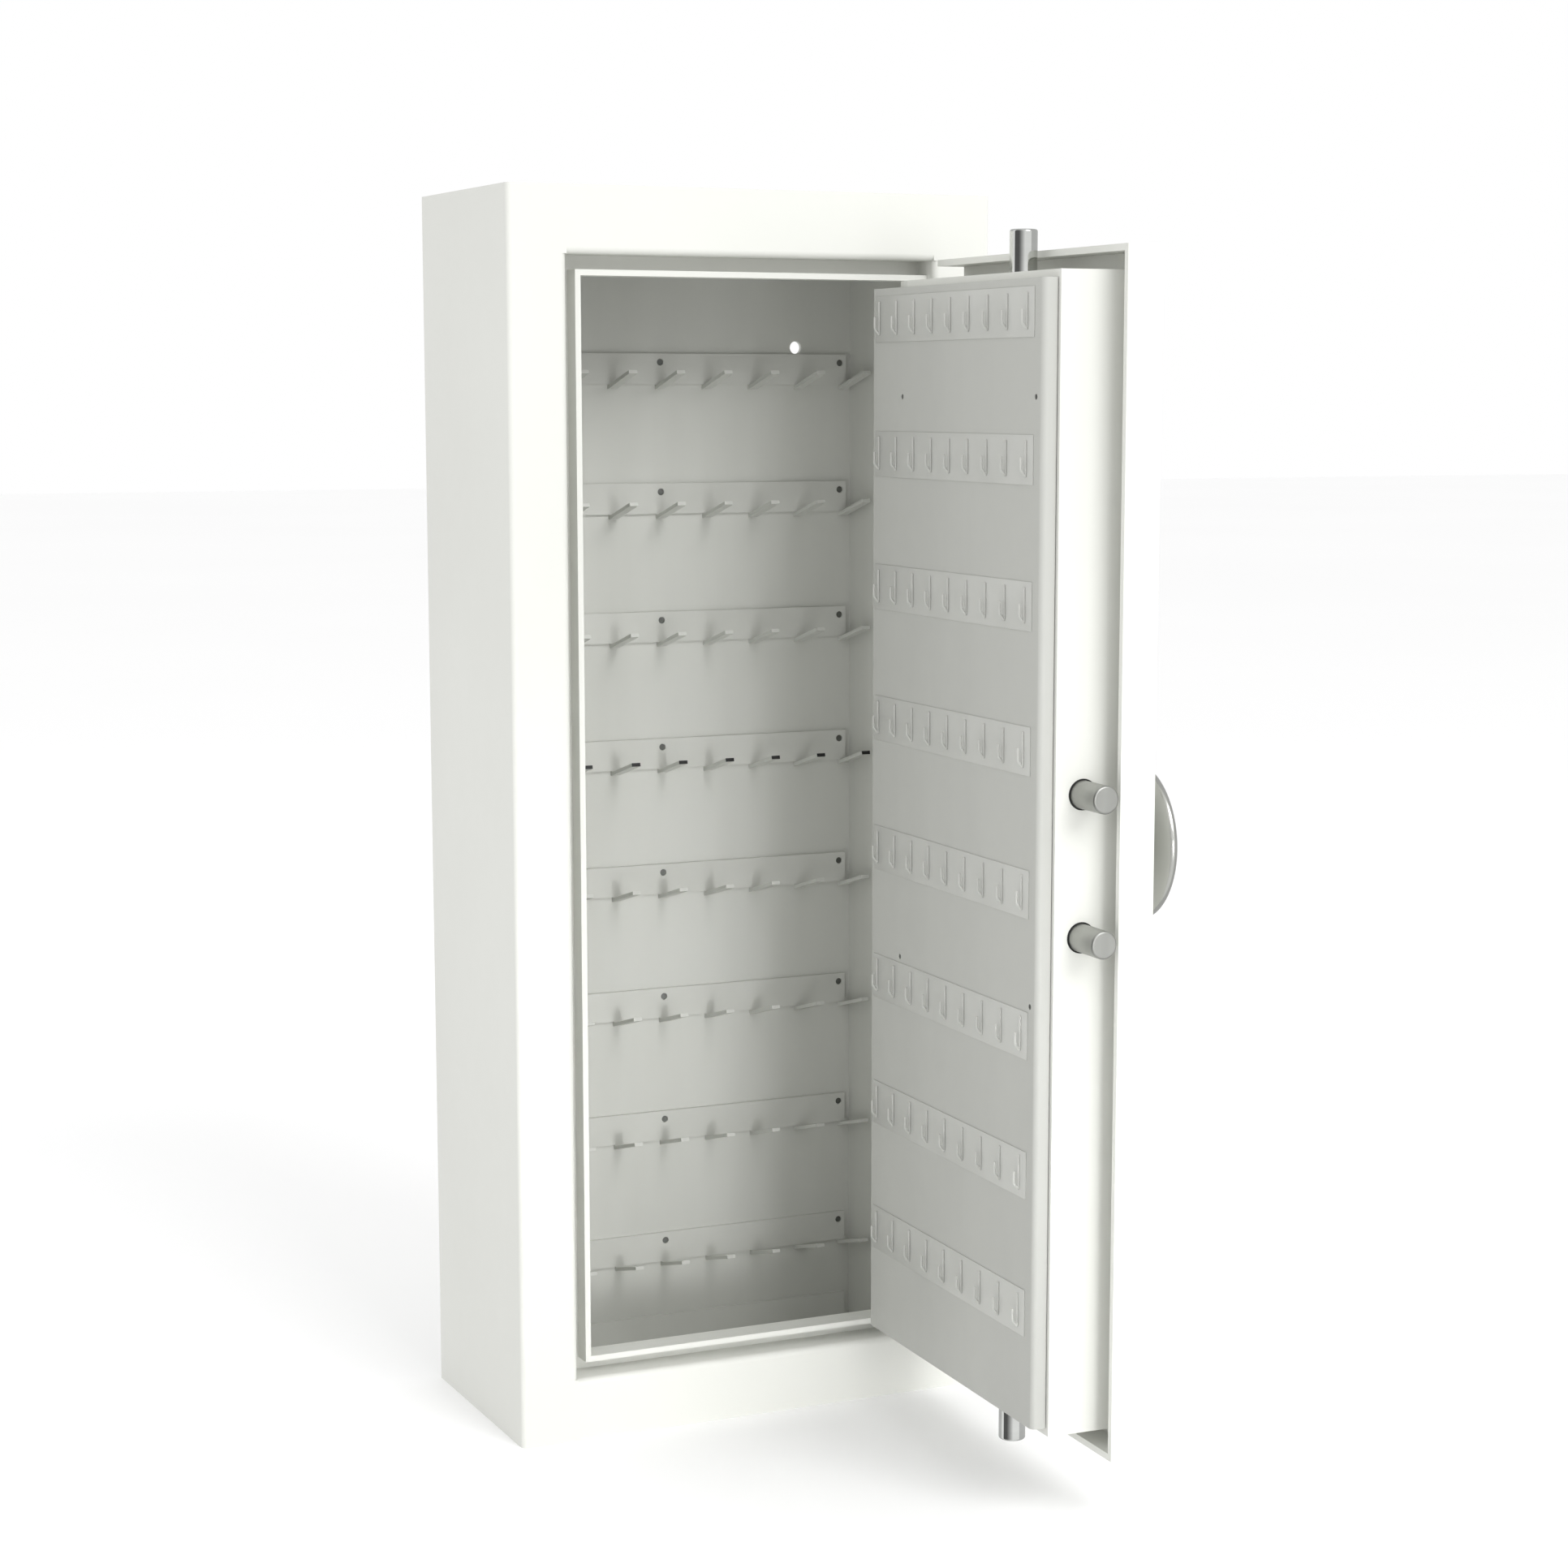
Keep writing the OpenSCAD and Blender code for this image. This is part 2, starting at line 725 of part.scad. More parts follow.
module crank_nut() {
    color(steel) on_door() translate([wheel_s, disc_y + disc_t, wheel_z]) rotate([-90, 0, 0]) difference() {
        cylinder(r = nut_r, h = nut_t, $fn = 6);
        translate([0, 0, -1]) cylinder(r = spindle_r, h = 2);
    }
}

half_throw = bolt_throw / 2;

module top_draw_bar() {
    z = wheel_z + half_throw;
    color(steel) on_door() difference() {
        union() {
            box([wheel_s + head_in, near_y, z - head_half],
                [wheel_s + top_out, near_y + bar_t, z + head_half]);
            box([wheel_s + top_out - arm_w, near_y, z - head_half],
                [wheel_s + top_out, near_y + bar_t, z + top_cross + arm_w]);
            box([wheel_s - bar_half, near_y, z + top_cross],
                [wheel_s + top_out, near_y + bar_t, z + top_cross + arm_w]);
            box([wheel_s - bar_half, near_y, z + top_cross],
                [wheel_s + bar_half, near_y + bar_t, top_tip - rod_len]);
        }
        box([wheel_s + half_throw - slot_half, near_y - 1, z - slot_half],
            [wheel_s + crank_r + slot_half, near_y + bar_t + 1, z + slot_half]);
    }
}

module bottom_draw_bar() {
    z = wheel_z - half_throw;
    color(steel) on_door() difference() {
        union() {
            box([wheel_s - bottom_out, near_y, z - bottom_cross - arm_w],
                [wheel_s - head_in, near_y + bar_t, z + head_half]);
            box([wheel_s - bottom_out, near_y, z - bottom_cross - arm_w],
                [wheel_s + bar_half, near_y + bar_t, z - bottom_cross]);
            box([wheel_s - bar_half, near_y, bottom_tip + rod_len],
                [wheel_s + bar_half, near_y + bar_t, z - bottom_cross]);
        }
        box([wheel_s - crank_r - slot_half, near_y - 1, z - slot_half],
            [wheel_s - half_throw + slot_half, near_y + bar_t + 1, z + slot_half]);
    }
}

module side_draw_bar() {
    z = wheel_z + half_throw;
    s = wheel_s - half_throw;
    color(steel) on_door() difference() {
        union() {
            box([side_root, bolt_y - bolt_r, side_zs[0] - yoke_over],
                [side_root + yoke_t, bolt_y + bolt_r, side_zs[1] + yoke_over]);
            box([side_root, far_y, z - eye_half], [s + eye_half, far_y + bar_t, z + eye_up]);
        }
        box([s - slot_half, far_y - 1, z - slot_half],
            [s + slot_half, far_y + bar_t + 1, wheel_z + crank_r + slot_half]);
    }
}

// A bolt along +Z with a rounded nose at its top.
module bolt_shape(length) {
    nose = 2;
    rotate_extrude() {
        square([bolt_r, length - nose]);
        square([bolt_r - nose, length]);
        translate([bolt_r - nose, length - nose]) intersection() {
            circle(r = nose);
            square(nose + 1);
        }
    }
}

module top_bolt() {
    color(steel) on_door() translate([wheel_s, bolt_y, top_tip - rod_len]) bolt_shape(rod_len);
}

module bottom_bolt() {
    color(steel) on_door() translate([wheel_s, bolt_y, bottom_tip + rod_len])
        mirror([0, 0, 1]) bolt_shape(rod_len);
}

module side_bolts() {
    color(steel) on_door() for (z = side_zs)
        translate([side_root, bolt_y, z]) rotate([0, -90, 0]) bolt_shape(side_root - side_tip);
}

// ---- Key lock ------------------------------------------------------------------

module lock_case() {
    color([0.8, 0.8, 0.78]) on_door() difference() {
        box([lock_s - lock_w / 2, lock_y0, lock_z - lock_h / 2],
            [lock_s + lock_w / 2, lock_y1, lock_z + lock_h / 2]);
        box([lock_s - lock_w / 2 + lock_wall, lock_y0 + lock_wall, lock_z - lock_h / 2 + lock_wall],
            [lock_s + lock_w / 2 - lock_wall, lock_y1 - lock_wall, lock_z + lock_h / 2 - lock_wall]);
        y_rod(lock_s, lock_z, core_r + 1, lock_y0 - 1, lock_y0 + lock_wall + 1);
        box([lock_s - latch_w / 2 - latch_gap, latch_y0 - latch_gap, lock_z - lock_h / 2 - 1],
            [lock_s + latch_w / 2 + latch_gap, latch_y0 + latch_t + latch_gap,
             lock_z - lock_h / 2 + lock_wall + 1]);
    }
}

module key_plate() {
    color(steel) on_door() difference() {
        y_rod(lock_s, lock_z, key_plate_r, -key_plate_t, 0);
        y_rod(lock_s, lock_z, core_r + run_gap, -core_proud, 1);
    }
}

// The core turns a quarter turn with the key. Its crank pin works in the latch's slot.
module lock_core() {
    color("gold") on_door() {
        difference() {
            y_rod(lock_s, lock_z, core_r, -core_proud, latch_y0 - 1 - cam_t);
            box([lock_s - keyhole_half_w, -5, lock_z - keyhole_half_h],
                [lock_s + keyhole_half_w, keyhole_in, lock_z + keyhole_half_h]);
            y_rod(lock_s, lock_z + keyhole_r, keyhole_r, -5, keyhole_in);
        }
        y_rod(lock_s, lock_z, cam_r, latch_y0 - 1 - cam_t, latch_y0 - 1);
        translate([core_crank * cos(45), 0, core_crank * sin(45)])
            y_rod(lock_s, lock_z, core_pin_r, latch_y0 - 2, latch_y0 + latch_t);
    }
}

module lock_latch() {
    z = lock_z + lock_travel / 2;
    color(steel) on_door() difference() {
        box([lock_s - latch_w / 2, latch_y0, lock_z - lock_h / 2 - latch_out],
            [lock_s + latch_w / 2, latch_y0 + latch_t, z + latch_head]);
        box([lock_s + core_crank * cos(45) - core_pin_r - pin_gap, latch_y0 - 1, z - core_pin_r - pin_gap],
            [lock_s + core_crank + core_pin_r + pin_gap, latch_y0 + latch_t + 1, z + core_pin_r + pin_gap]);
    }
}

left_side();
right_side();
top_rail();
bottom_rail();
roof_panel();
floor_panel();
back_plate();
rebate_plate();
left_lip();
top_lip();
bottom_lip();
lining(-1);  // left_lining
lining(1);  // right_lining
infill(-1);  // left_infill
infill(1);  // right_infill
bottom_stiffener();
for (k = [0 : row_n - 1]) key_rail(k);
rail_rivets();
prong_pads();
frame_lug(hinge_zs[0]);  // lower_frame_lug
frame_lug(hinge_zs[1]);  // upper_frame_lug
hinge_pins();
hinge_washers();
door_lug(hinge_zs[0]);  // lower_door_lug
door_lug(hinge_zs[1]);  // upper_door_lug
door_pan();
bolt_case();
hook_tray();
tray_screws();
for (k = [0 : 3]) hook_row(k);  // hook_rows_upper
for (k = [4 : 7]) hook_row(k);  // hook_rows_lower
hook_row_screws();
spindle_bush();
wheel_rose();
side_bushes();
end_bushes();
bar_keepers();
handwheel();
spindle();
crank_disc();
crank_nut();
top_draw_bar();
bottom_draw_bar();
side_draw_bar();
top_bolt();
bottom_bolt();
side_bolts();
lock_case();
key_plate();
lock_core();
lock_latch();
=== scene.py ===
import json
import math

import bmesh
import bpy
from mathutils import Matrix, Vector


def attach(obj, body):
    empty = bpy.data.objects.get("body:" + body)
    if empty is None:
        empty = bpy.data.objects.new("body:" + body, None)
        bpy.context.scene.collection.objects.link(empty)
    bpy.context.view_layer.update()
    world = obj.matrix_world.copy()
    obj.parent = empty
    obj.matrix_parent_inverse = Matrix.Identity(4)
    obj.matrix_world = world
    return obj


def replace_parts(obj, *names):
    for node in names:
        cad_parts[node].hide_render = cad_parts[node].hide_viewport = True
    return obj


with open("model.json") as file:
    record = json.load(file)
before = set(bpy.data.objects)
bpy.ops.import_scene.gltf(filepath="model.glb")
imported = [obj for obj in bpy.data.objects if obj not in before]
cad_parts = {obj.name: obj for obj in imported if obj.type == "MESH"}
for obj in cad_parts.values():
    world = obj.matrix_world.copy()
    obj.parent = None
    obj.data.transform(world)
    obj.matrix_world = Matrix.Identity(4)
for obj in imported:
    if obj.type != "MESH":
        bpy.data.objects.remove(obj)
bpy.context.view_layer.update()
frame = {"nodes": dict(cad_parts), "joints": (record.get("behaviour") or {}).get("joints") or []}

MM = 0.001
nodes = frame["nodes"]
scene = bpy.context.scene

# ---- The door's own frame ------------------------------------------------------------
# s runs from the free edge to the hinge, inward from the outer face to the inside, and z
# is height. The door stands open by DOOR_ANGLE about the hinge pins.

DOOR_ANGLE = math.radians(88)
DOOR_S = Vector((math.cos(DOOR_ANGLE), math.sin(DOOR_ANGLE), 0))
DOOR_IN = Vector((-math.sin(DOOR_ANGLE), math.cos(DOOR_ANGLE), 0))


def joint(name):
    return next(j for j in frame["joints"] if j["name"] == name)


wheel_centre = Vector(joint("wheel_turn")["pos_m"])
WHEEL_S = 0.153                      # the wheel's place along the door
DOOR_ORIGIN = wheel_centre - DOOR_S * WHEEL_S
DOOR_ORIGIN.z = 0


def on_door(s, inward, z):
    return DOOR_ORIGIN + DOOR_S * s + DOOR_IN * inward + Vector((0, 0, z))


# ---- Materials -------------------------------------------------------------------------

EVEN = (1, 1, 1)                     # how fast a noise changes along x, y and z
UPRIGHT = (1, 1, 0.05)               # streaks that run up and down
LATHED = (0.05, 0.05, 1)             # rings round an upright bar
CLOUD_DETAIL = 4.0
GRAIN_DETAIL = 3.0
CLOUD_EDGES = (0.35, 0.65)           # the noise levels between which a colour changes
RING_EDGES = (0, 1)


def grey(v):
    return (v, v, v)


def add(tree, kind, **values):
    """A new node. Each value is set on the node's own property or else on its socket."""
    node = tree.nodes.new(kind)
    for key, value in values.items():
        if hasattr(node, key):
            setattr(node, key, value)
        else:
            node.inputs[key].default_value = value
    return node


def new_material(name, metallic=0.0):
    m = bpy.data.materials.new(name)
    m.use_nodes = True
    shader = m.node_tree.nodes["Principled BSDF"]
    shader.inputs["Metallic"].default_value = metallic
    return m, m.node_tree, shader


def in_object_space(tree, texture, stretch=EVEN, shift=(0, 0, 0)):
    """The texture's pattern, laid out on the object, stretched and shifted."""
    coords = add(tree, "ShaderNodeTexCoord")
    mapping = add(tree, "ShaderNodeMapping")
    mapping.inputs["Scale"].default_value = stretch
    mapping.inputs["Location"].default_value = shift
    tree.links.new(coords.outputs["Object"], mapping.inputs["Vector"])
    tree.links.new(mapping.outputs["Vector"], texture.inputs["Vector"])
    return texture.outputs["Fac"]


def noise(tree, scale, detail, stretch):
    return in_object_space(tree, add(tree, "ShaderNodeTexNoise", Scale=scale, Detail=detail), stretch)


def drive(tree, socket, pattern, low, high, edges):
    """Let the pattern run a shader's socket from colour low to colour high."""
    ramp = add(tree, "ShaderNodeValToRGB")
    for element, place, colour in zip(ramp.color_ramp.elements, edges, (low, high)):
        element.position = place
        element.color = (*colour, 1)
    tree.links.new(pattern, ramp.inputs["Fac"])
    tree.links.new(ramp.outputs["Color"], socket)


def cloud(tree, socket, scale, low, high, stretch=EVEN):
    drive(tree, socket, noise(tree, scale, CLOUD_DETAIL, stretch), low, high, CLOUD_EDGES)


def relief(tree, shader, pattern, strength, distance):
    bump = add(tree, "ShaderNodeBump", Strength=strength, Distance=distance)
    tree.links.new(pattern, bump.inputs["Height"])
    tree.links.new(bump.outputs["Normal"], shader.inputs["Normal"])


def grain(tree, shader, scale, strength, distance, stretch=EVEN):
    relief(tree, shader, noise(tree, scale, GRAIN_DETAIL, stretch), strength, distance)


def coated(name, low, high, rough, cloud_scale=3.0, stretch=EVEN):
    """Powder coat: faintly cloudy colour, a fine orange peel and uneven gloss."""
    m, tree, shader = new_material(name)
    cloud(tree, shader.inputs["Base Color"], cloud_scale, low, high, stretch)
    cloud(tree, shader.inputs["Roughness"], scale=40.0, low=grey(rough - 0.04), high=grey(rough + 0.05))
    grain(tree, shader, scale=900.0, strength=0.25, distance=0.00008)
    shader.inputs["Specular IOR Level"].default_value = 0.35
    return m


def metal(name, low, high, rough, spread, streak, scale=60.0):
    """Bare metal with streaks along one direction."""
    m, tree, shader = new_material(name, metallic=1.0)
    cloud(tree, shader.inputs["Base Color"], scale, low, high, streak)
    cloud(tree, shader.inputs["Roughness"], scale * 2, grey(rough - spread), grey(rough + spread), streak)
    grain(tree, shader, scale * 6, strength=0.2, distance=0.00002, stretch=streak)
    return m


def turned(name, colour, rough, centre, pitch):
    """Lathe-turned metal. Its fine rings run round X, from which the open door's normal
    stands 2 degrees off."""
    m, tree, shader = new_material(name, metallic=1.0)
    shader.inputs["Base Color"].default_value = (*colour, 1)
    rings = add(tree, "ShaderNodeTexWave", wave_type="RINGS", rings_direction="X", Scale=1 / pitch,
                Distortion=0.4, Detail=2.0)
    pattern = in_object_space(tree, rings, shift=-centre)
    drive(tree, shader.inputs["Roughness"], pattern, grey(rough - 0.03), grey(rough + 0.03), RING_EDGES)
    relief(tree, shader, pattern, strength=0.15, distance=0.00001)
    return m


def plastic(name, low, high, rough):
    m, tree, shader = new_material(name)
    cloud(tree, shader.inputs["Base Color"], 120.0, low, high)
    cloud(tree, shader.inputs["Roughness"], scale=300.0, low=grey(rough - 0.05), high=grey(rough + 0.05))
    grain(tree, shader, scale=1500.0, strength=0.3, distance=0.00005)
    return m


# Coats: the colour from and to, the roughness, and the clouds' scale and stretch.
powder = coated("powder_coat", (0.714, 0.719, 0.68), (0.738, 0.744, 0.705), 0.42)
inner = coated("inner_coat", (0.60, 0.607, 0.57), (0.65, 0.657, 0.62), 0.48, 9.0, (1, 1, 0.12))
tray_coat = coated("tray_coat", (0.45, 0.455, 0.43), (0.485, 0.49, 0.462), 0.46, 6.0, (1, 1, 0.15))
rail_coat = coated("rail_coat", (0.60, 0.606, 0.57), (0.64, 0.646, 0.61), 0.44, 12.0)
hook_coat = coated("hook_coat", (0.49, 0.495, 0.468), (0.52, 0.525, 0.498), 0.36, 15.0)
filler = coated("filler", (0.62, 0.58, 0.48), (0.72, 0.68, 0.58), 0.85, 80.0)

# Metals: the same, then how far the roughness strays, the streaks and their scale.
satin = metal("satin_steel", (0.34, 0.345, 0.325), (0.40, 0.405, 0.385), 0.42, 0.06, UPRIGHT)
polished = metal("polished_steel", (0.62, 0.63, 0.61), (0.68, 0.69, 0.67), 0.07, 0.02, LATHED)
zinc = metal("plain_steel", (0.42, 0.43, 0.42), (0.52, 0.53, 0.51), 0.38, 0.08, EVEN, 30.0)
brass = metal("brass", (0.62, 0.46, 0.22), (0.70, 0.54, 0.28), 0.30, 0.05, UPRIGHT)
dark_screw = metal("dark_screw", (0.16, 0.165, 0.155), (0.22, 0.225, 0.215), 0.45, 0.06, EVEN, 200.0)
wheel_steel = turned("wheel_steel", (0.52, 0.525, 0.498), rough=0.22, centre=wheel_centre, pitch=0.0016)

black = plastic("black_plastic", grey(0.008), grey(0.014), 0.55)

RAILS = [f"key_rail_{k}" for k in range(1, 9)]
MATERIAL_OF = {}
for names, material in (
    (["back_plate", "left_lining", "right_lining", "bottom_stiffener"], inner),
    (RAILS, rail_coat),
    (["hook_tray"], tray_coat),
    (["left_infill", "right_infill"], filler),
    (["side_bolts", "wheel_rose", "key_plate"], satin),
    (["top_bolt", "bottom_bolt"], polished),
    (["handwheel"], wheel_steel),
    (["hinge_pins", "bar_keepers", "spindle", "crank_disc", "crank_nut", "top_draw_bar",
      "bottom_draw_bar", "side_draw_bar", "lock_case", "lock_latch"], zinc),
    (["hinge_washers", "spindle_bush", "lock_core"], brass),
    (["prong_pads", "side_bushes", "end_bushes"], black),
    (["rail_rivets", "tray_screws", "hook_row_screws"], dark_screw),
):
    MATERIAL_OF.update({n: material for n in names})


def dress(obj, material):
    obj.data.materials.clear()
    obj.data.materials.append(material)


EDGE_ANGLE = math.radians(40)        # only edges sharper than this are rounded
RAIL_EDGE = 0.3 * MM
LUGS = [f"{place}_{side}_lug" for place in ("lower", "upper") for side in ("frame", "door")]


def soften(obj, width, segments=2):
    """A small rounded edge that catches the light."""
    bevel = obj.modifiers.new("edge", "BEVEL")
    bevel.width = width
    bevel.segments = segments
    bevel.limit_method = "ANGLE"
    bevel.angle_limit = EDGE_ANGLE
    bevel.harden_normals = True


EDGE_OF = {}
for width, names in (
    (0.3 * MM, ["rebate_plate"]),
    (0.4 * MM, ["top_rail", "bottom_rail", "roof_panel", "floor_panel", "key_plate"]),
    (0.5 * MM, ["left_side", "right_side", "left_lip", "top_lip", "bottom_lip"]),
    (0.6 * MM, ["door_pan", "hinge_pins", *LUGS]),
    (0.7 * MM, ["bolt_case"]),
    (0.8 * MM, ["wheel_rose"]),
):
    EDGE_OF.update({n: width for n in names})

for name, obj in nodes.items():
    dress(obj, MATERIAL_OF.get(name, powder))
    if name in EDGE_OF:
        soften(obj, EDGE_OF[name])
for name in RAILS:
    soften(nodes[name], RAIL_EDGE, segments=1)


# ---- Mesh helpers ------------------------------------------------------------------------

def finish_mesh(name, bm, material, body, smooth_angle=35):
    mesh = bpy.data.meshes.new(name)
    bmesh.ops.recalc_face_normals(bm, faces=bm.faces)
    bm.to_mesh(mesh)
    bm.free()
    for poly in mesh.polygons:
        poly.use_smooth = True
    obj = bpy.data.objects.new(name, mesh)
    scene.collection.objects.link(obj)
    mesh.materials.append(material)
    mesh.set_sharp_from_angle(angle=math.radians(smooth_angle))
    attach(obj, body)
    return obj


DOME = ((0.5, 0.85), (0.9, 0.35))    # a domed end's rings: how far out and how wide, in radii


def ring_at(bm, centre, axis_a, axis_b, radius, count):
    ring = []
    for k in range(count):
        a = 2 * math.pi * k / count
        off = axis_a * (radius * math.cos(a)) + axis_b * (radius * math.sin(a))
        ring.append(bm.verts.new(centre + off))
    return ring


def skin(bm, rings):
    """Faces from each ring to the next, and a cap on both ends."""
    count = len(rings[0])
    for a, b in zip(rings, rings[1:]):
        for k in range(count):
            n = (k + 1) % count
            bm.faces.new((a[k], a[n], b[n], b[k]))
    bm.faces.new(list(reversed(rings[0])))
    bm.faces.new(rings[-1])


def lathe(bm, centre, axis, profile, count=96):
    """Turn the profile, a list of (radius, distance along the axis), round the axis."""
    side = axis.orthogonal().normalized()
    other = axis.cross(side).normalized()
    skin(bm, [ring_at(bm, centre + axis * along, side, other, r, count) for r, along in profile])


def tube(bm, path, radius, sides=12):
    """A round tube along the path, with domed ends."""
    rings = []
    last = len(path) - 1
    for i, p in enumerate(path):
        along = (path[min(i + 1, last)] - path[max(i - 1, 0)]).normalized()
        side = along.cross(DOOR_S).normalized()
        other = side.cross(along).normalized()
        scales = [(0, 1)]
        if i == 0:
            scales = [(-out, share) for out, share in reversed(DOME)] + scales
        if i == last:
            scales = scales + list(DOME)
        for shift, share in scales:
            rings.append(ring_at(bm, p + along * shift * radius, side, other, radius * share, sides))
    skin(bm, rings)


def rounded(corners, reach, steps=5):
    """The path through the corners, with a curve at each inner corner that starts and ends
    at this reach from it."""
    path = [corners[0]]
    for a, b, c in zip(corners, corners[1:], corners[2:]):
        start = b + (a - b).normalized() * reach
        end = b + (c - b).normalized() * reach
        for k in range(steps + 1):
            t = k / steps
            path.append(start * (1 - t) ** 2 + b * 2 * t * (1 - t) + end * t ** 2)
    path.append(corners[-1])
    return path


def door_block(bm, s0, s1, in0, in1, z0, z1):
    verts = [bm.verts.new(on_door(s, n, z)) for s in (s0, s1) for n in (in0, in1) for z in (z0, z1)]
    for face in ((0, 1, 3, 2), (4, 6, 7, 5), (0, 4, 5, 1), (2, 3, 7, 6), (0, 2, 6, 4), (1, 5, 7, 3)):
        bm.faces.new([verts[k] for k in face])


# ---- Hook strips on the door ---------------------------------------------------------------

ROWS = 8
HOOKS = 9
HOOK_TOP = 1.0998                    # top edge of the highest strip
HOOK_ROW_PITCH = 0.1263
HOOK_FIRST = 0.0606                  # a strip's first hook, along the door
HOOK_PITCH = 0.03835
STRIP_S = (0.0485, 0.3775)           # a strip's two ends, along the door
STRIP_H = 0.043
STRIP_T = 0.0008
STRIP_EDGE = 0.0003
TRAY_FACE = 0.097                    # the face under the strips, inward from the door's front
WIRE_R = 0.0011
WIRE_LIFT = WIRE_R * 0.8             # less than its radius, so the wire is sunk in the strip
HOOK_OUT = 0.0046                    # how far the tip stands off the shank
START_DROP = 0.0058                  # below the strip's top edge: where the wire starts,
FOOT_DROP = 0.0362                   # where it leaves the strip,
ELBOW_DROP = 0.0300                  # where it turns up
TIP_DROP = 0.0200                    # and where it ends
HOOK_BEND = 0.0012


def hook_path(s, top):
    """The wire hangs down the strip, comes out and turns up."""
    flat = TRAY_FACE + STRIP_T + WIRE_LIFT
    corners = [
        on_door(s, flat, top - START_DROP),
        on_door(s, flat, top - FOOT_DROP),
        on_door(s, flat + HOOK_OUT, top - ELBOW_DROP),
        on_door(s, flat + HOOK_OUT, top - TIP_DROP),
    ]
    return rounded(corners, HOOK_BEND)


def hook_strip(k):
    top = HOOK_TOP - HOOK_ROW_PITCH * k
    bm = bmesh.new()
    door_block(bm, *STRIP_S, TRAY_FACE, TRAY_FACE + STRIP_T, top - STRIP_H, top)
    bmesh.ops.bevel(bm, geom=bm.edges[:], offset=STRIP_EDGE, segments=2, affect="EDGES", profile=0.5)
    for i in range(HOOKS):
        tube(bm, hook_path(HOOK_FIRST + i * HOOK_PITCH, top), WIRE_R)
    return finish_mesh(f"hook_strip_{k + 1}", bm, hook_coat, "door")


strips = [hook_strip(k) for k in range(ROWS)]
for k, strip in enumerate(strips):
    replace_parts(strip, "hook_rows_upper" if k < ROWS / 2 else "hook_rows_lower")


# ---- Handwheel -----------------------------------------------------------------------------
# A lens-shaped wheel on a hub. Its profile follows the CAD wheel, in heights over the door.

WHEEL_R = 0.073
WHEEL_STAND = 0.0668                 # height of its widest circle
WHEEL_BACK = 0.020                   # how deep the lens is behind that circle
WHEEL_FRONT = 0.0149                 # in front: a hair flatter than the CAD wheel, to stay within it
HUB_R = 0.016
HUB_START = 0.008
HUB_END = 0.030                      # from here it widens to the lens
HUB_EDGE = 0.0008
NECK_R = HUB_R + 0.006               # where the back of the lens starts


def lens(radius, deep):
    return deep * math.sqrt(max(0.0, 1 - (radius / WHEEL_R) ** 2))


def wheel_profile(steps=28):
    bulge = [math.sin(math.pi / 2 * i / steps) for i in range(steps + 1)]
    back = [NECK_R + (WHEEL_R - NECK_R) * share for share in bulge[:-1]]
    front = [WHEEL_R * share for share in reversed(bulge[1:])]
    profile = [(HUB_R - HUB_EDGE, HUB_START), (HUB_R, HUB_START + HUB_EDGE), (HUB_R, HUB_END)]
    profile += [(r, WHEEL_STAND - lens(r, WHEEL_BACK)) for r in back]
    profile += [(r, WHEEL_STAND + lens(r, WHEEL_FRONT)) for r in front]
    return profile


def handwheel():
    bm = bmesh.new()
    lathe(bm, wheel_centre, -DOOR_IN, wheel_profile())
    return finish_mesh("wheel", bm, wheel_steel, "wheel", smooth_angle=50)


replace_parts(handwheel(), "handwheel")


# ---- Floor, light and camera -----------------------------------------------------------------

FLOOR_SIZE = 30
FLOOR_GLOW = 0.04                    # keeps the far floor as white as the backdrop


def make_floor():
    """A near-white ground that reflections don't see."""
    bm = bmesh.new()
    bmesh.ops.create_grid(bm, x_segments=1, y_segments=1, size=FLOOR_SIZE)
    mesh = bpy.data.meshes.new("floor")
    bm.to_mesh(mesh)
    bm.free()
    floor = bpy.data.objects.new("floor", mesh)
    scene.collection.objects.link(floor)
    pale = coated("floor", grey(0.94), grey(0.95), 0.9, 0.3)
    shader = pale.node_tree.nodes["Principled BSDF"]
    shader.inputs["Emission Color"].default_value = (1, 1, 1, 1)
    shader.inputs["Emission Strength"].default_value = FLOOR_GLOW
    mesh.materials.append(pale)
    floor.visible_glossy = False


def make_light(name, place, target, size, watts, spread=180):
    data = bpy.data.lights.new(name, "AREA")
    data.shape = "DISK"
    data.size = size
    data.energy = watts
    data.spread = math.radians(spread)
    light = bpy.data.objects.new(name, data)
    scene.collection.objects.link(light)
    light.location = place
    light.rotation_euler = (Vector(target) - Vector(place)).to_track_quat("-Z", "Y").to_euler()


def towards(degrees):
    """A level direction, counted from +X towards +Y."""
    return (math.cos(math.radians(degrees)), math.sin(math.radians(degrees)), 0)


def facing(tree, coords, degrees, start, stop):
    """0 to 1 as a direction turns towards the one given, between two cosines."""
    dot = add(tree, "ShaderNodeVectorMath", operation="DOT_PRODUCT")
    dot.inputs[1].default_value = towards(degrees)
    share = add(tree, "ShaderNodeMapRange")
    share.inputs["From Min"].default_value = start
    share.inputs["From Max"].default_value = stop
    tree.links.new(coords.outputs["Generated"], dot.inputs[0])
    tree.links.new(dot.outputs["Value"], share.inputs["Value"])
    return share.outputs["Result"]


MIX_A, MIX_B, MIX_RESULT = 6, 7, 2      # a Mix node's colour sockets


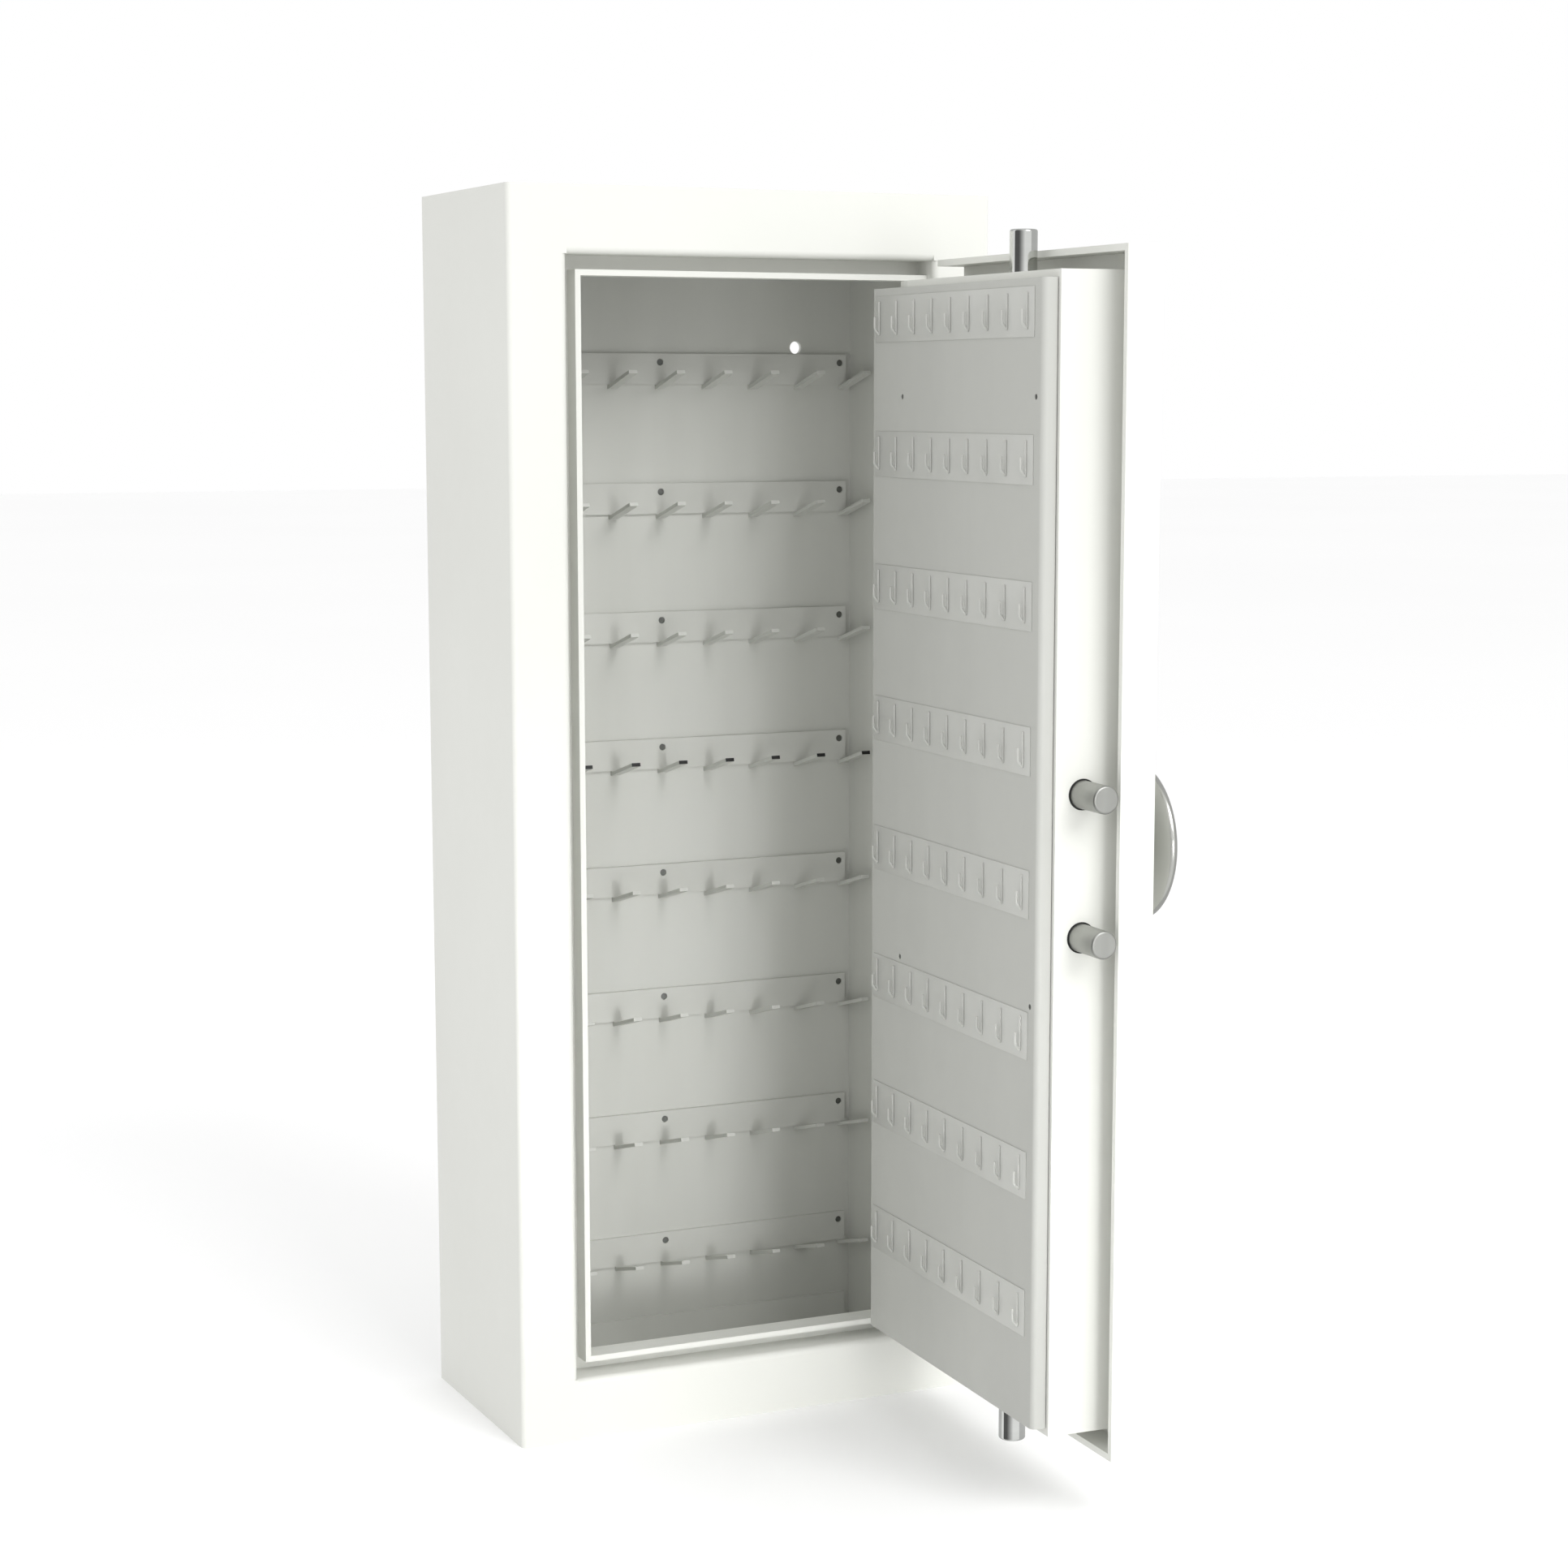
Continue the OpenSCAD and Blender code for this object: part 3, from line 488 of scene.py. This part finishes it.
def mix_greys(tree, share, low, high):
    """Low to high as the share goes from 0 to 1. Each is a level or another node's socket."""
    node = add(tree, "ShaderNodeMix", data_type="RGBA")
    tree.links.new(share, node.inputs["Factor"])
    for place, level in ((MIX_A, low), (MIX_B, high)):
        if isinstance(level, float):
            node.inputs[place].default_value = (*grey(level), 1)
        else:
            tree.links.new(level, node.inputs[place])
    return node.outputs[MIX_RESULT]


ROOM = 1.0
BEHIND = 0.62                        # what reflections see behind the cabinet
FLAG = 0.12                          # and of the flag on the left
# A level direction in degrees, and the cosines of two angles from it. Past the first angle
# there is nothing of the shade, and within the second there is all of it.
BEHIND_EDGE = (44, -0.13, -0.08)
FLAG_SOFT_EDGE = (178, 0.26, 0.90)
FLAG_CRISP_EDGE = (253, 0.0, 0.06)


def make_world():
    """A white room. Reflections also see that it is grey behind the cabinet, and a black
    flag on the left."""
    world = bpy.data.worlds.new("studio")
    scene.world = world
    world.use_nodes = True
    tree = world.node_tree
    coords = add(tree, "ShaderNodeTexCoord")
    rays = add(tree, "ShaderNodeLightPath")
    flag = add(tree, "ShaderNodeMath", operation="MULTIPLY")
    tree.links.new(facing(tree, coords, *FLAG_SOFT_EDGE), flag.inputs[0])
    tree.links.new(facing(tree, coords, *FLAG_CRISP_EDGE), flag.inputs[1])
    room = mix_greys(tree, facing(tree, coords, *BEHIND_EDGE), ROOM, BEHIND)
    shaded = mix_greys(tree, flag.outputs["Value"], room, FLAG)
    colour = mix_greys(tree, rays.outputs["Is Glossy Ray"], ROOM, shaded)
    tree.links.new(colour, tree.nodes["Background"].inputs["Color"])


def make_camera():
    """The photo's viewpoint, fitted to the cabinet's edges."""
    data = bpy.data.cameras.new("camera")
    camera = bpy.data.objects.new("camera", data)
    scene.collection.objects.link(camera)
    camera.location = (-1.2365, -2.8810, 1.0072)
    camera.rotation_euler = (math.radians(81.864), 0, math.radians(-24.971))
    data.sensor_width = 36
    data.lens = 72
    data.shift_x = -0.01122
    data.shift_y = 0.03807
    scene.camera = camera


make_floor()
make_world()
make_light("key", place=(0.9, -4.6, 3.9), target=(0, 0, 0.6), size=3.2, watts=130)
make_light("low_fill", place=(0.05, -3.2, 0.25), target=(0, 0.1, 0.20), size=0.8, watts=0.75, spread=26)
make_camera()
scene.view_settings.view_transform = "Standard"
